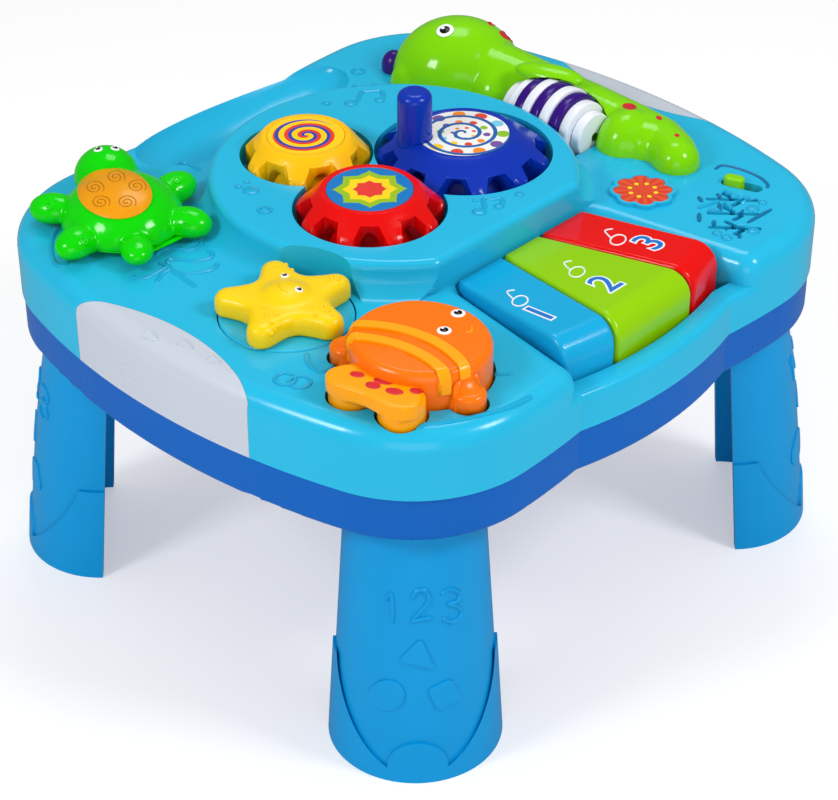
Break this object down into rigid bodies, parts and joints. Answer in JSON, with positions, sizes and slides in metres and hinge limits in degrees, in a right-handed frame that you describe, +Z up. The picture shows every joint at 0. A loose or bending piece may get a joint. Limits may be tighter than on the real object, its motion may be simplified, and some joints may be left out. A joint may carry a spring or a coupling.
{
  "type": "activity table",
  "caption": "Low toddler's musical table on plug-in legs, with meshing gears, piano keys, press-down animals, a spinning starfish and a belly roller.",
  "frame": {"origin": "on the floor under the middle of the table", "axes": "+Z up, -Y towards the piano keys, +X towards the seahorse side"},
  "size_m": [0.2966, 0.268, 0.2035],
  "materials": {
    "sky_plastic": "glossy sky blue moulding",
    "band_plastic": "glossy mid blue moulding",
    "leg_plastic": "glossy blue moulding",
    "white_plastic": "glossy white moulding",
    "turtle_green": "glossy bright green moulding",
    "amber_lens": "clear amber moulding",
    "star_yellow": "glossy yellow moulding",
    "fish_orange": "glossy orange moulding",
    "fish_amber": "glossy amber moulding",
    "key_blue": "glossy light blue moulding",
    "key_lime": "glossy lime moulding",
    "key_red": "glossy red moulding",
    "seahorse_lime": "glossy lime moulding",
    "purple_plastic": "glossy purple moulding",
    "gear_yellow": "glossy yellow moulding",
    "gear_red": "glossy red moulding",
    "gear_blue": "glossy dark blue moulding",
    "printed_label": "printed laminate",
    "switch_lime": "glossy lime moulding",
    "black_plastic": "matt black moulding",
    "board_green": "circuit board laminate",
    "dome_rubber": "soft rubber",
    "steel": "plated steel",
    "cell_wrap": "shrink-wrapped cell"
  },
  "bodies": {
    "table": {"top_shell": "sky_plastic", "base_tray": "band_plastic", "side_panel_left": "white_plastic", "side_panel_right": "white_plastic", "housing_screws": "steel", "leg_front_left": "leg_plastic", "leg_front_right": "leg_plastic", "leg_rear_left": "leg_plastic", "leg_rear_right": "leg_plastic", "key_hinge_rod": "steel", "blue_key_dome": "dome_rubber", "green_key_dome": "dome_rubber", "red_key_dome": "dome_rubber", "turtle_dome": "dome_rubber", "turtle_board": "board_green", "fish_dome": "dome_rubber", "fish_board": "board_green", "seahorse_body": "seahorse_lime", "seahorse_crest": "purple_plastic", "drum_axle": "steel", "shell_badge": "printed_label", "battery_cover": "band_plastic", "battery_cover_screw": "steel", "batteries": "cell_wrap", "battery_contacts": "steel", "circuit_board": "board_green", "speaker_frame": "steel", "speaker_cone": "black_plastic", "switch_body": "black_plastic"},
    "blue_gear_set": {"blue_gear": "gear_blue", "blue_gear_label": "printed_label", "crank_knob": "gear_blue", "blue_gear_screw": "steel"},
    "red_gear_set": {"red_gear": "gear_red", "red_gear_label": "printed_label", "red_gear_screw": "steel"},
    "yellow_gear_set": {"yellow_gear": "gear_yellow", "yellow_gear_label": "printed_label", "yellow_gear_screw": "steel"},
    "blue_key_lever": {"blue_key": "key_blue"},
    "green_key_lever": {"green_key": "key_lime"},
    "red_key_lever": {"red_key": "key_red"},
    "turtle_button": {"turtle_body": "turtle_green", "turtle_lens": "amber_lens", "turtle_screw": "steel"},
    "fish_button": {"fish_body": "fish_orange", "fish_tail": "fish_amber", "fish_stripes": "fish_amber"},
    "star_turntable": {"starfish": "star_yellow", "star_disc": "sky_plastic", "star_screw": "steel"},
    "belly_roller": {"seahorse_drum": "white_plastic"},
    "power_switch": {"switch_slider": "switch_lime"}
  },
  "joints": [
    {"name": "blue_gear_spin", "type": "hinge", "parent": "table", "child": "blue_gear_set", "pos_m": [0.02916, 0.00191, 0.164], "axis": [0, 0, 1], "continuous": true},
    {"name": "red_gear_spin", "type": "hinge", "parent": "table", "child": "red_gear_set", "pos_m": [-0.0312, -0.0022, 0.164], "axis": [0, 0, 1], "continuous": true},
    {"name": "yellow_gear_spin", "type": "hinge", "parent": "table", "child": "yellow_gear_set", "pos_m": [-0.01717, 0.04839, 0.164], "axis": [0, 0, 1], "continuous": true},
    {"name": "star_spin", "type": "hinge", "parent": "table", "child": "star_turntable", "pos_m": [-0.0964, -0.0205, 0.161], "axis": [0, 0, 1], "continuous": true},
    {"name": "roller_spin", "type": "hinge", "parent": "table", "child": "belly_roller", "pos_m": [0.0896, 0, 0.1645], "axis": [0, 1, 0], "continuous": true},
    {"name": "blue_key_press", "type": "hinge", "parent": "table", "child": "blue_key_lever", "pos_m": [0.005, -0.0585, 0.151], "axis": [1, 0, 0], "range_deg": [0, 3.5], "stiffness_Nm_per_rad": 0.6, "springref_deg": -3.44, "deforming": ["blue_key_dome"]},
    {"name": "green_key_press", "type": "hinge", "parent": "table", "child": "green_key_lever", "pos_m": [0.005, -0.0585, 0.151], "axis": [1, 0, 0], "range_deg": [0, 3.5], "stiffness_Nm_per_rad": 0.6, "springref_deg": -3.44, "deforming": ["green_key_dome"]},
    {"name": "red_key_press", "type": "hinge", "parent": "table", "child": "red_key_lever", "pos_m": [0.005, -0.0585, 0.151], "axis": [1, 0, 0], "range_deg": [0, 3.5], "stiffness_Nm_per_rad": 0.6, "springref_deg": -3.44, "deforming": ["red_key_dome"]},
    {"name": "turtle_press", "type": "slide", "parent": "table", "child": "turtle_button", "axis": [0, 0, -1], "range_m": [0, 0.002], "stiffness_N_per_m": 500, "springref_m": -0.003, "deforming": ["turtle_dome"]},
    {"name": "fish_press", "type": "slide", "parent": "table", "child": "fish_button", "axis": [0, 0, -1], "range_m": [0, 0.003], "stiffness_N_per_m": 500, "springref_m": -0.003, "deforming": ["fish_dome"]},
    {"name": "switch_slide", "type": "slide", "parent": "table", "child": "power_switch", "axis": [0.309, -0.9511, 0], "range_m": [0, 0.007]}
  ],
  "couplings": [
    {"joint": "red_gear_spin", "follows": "blue_gear_spin", "ratio": -1.2222},
    {"joint": "yellow_gear_spin", "follows": "blue_gear_spin", "ratio": 1.5714}
  ]
}
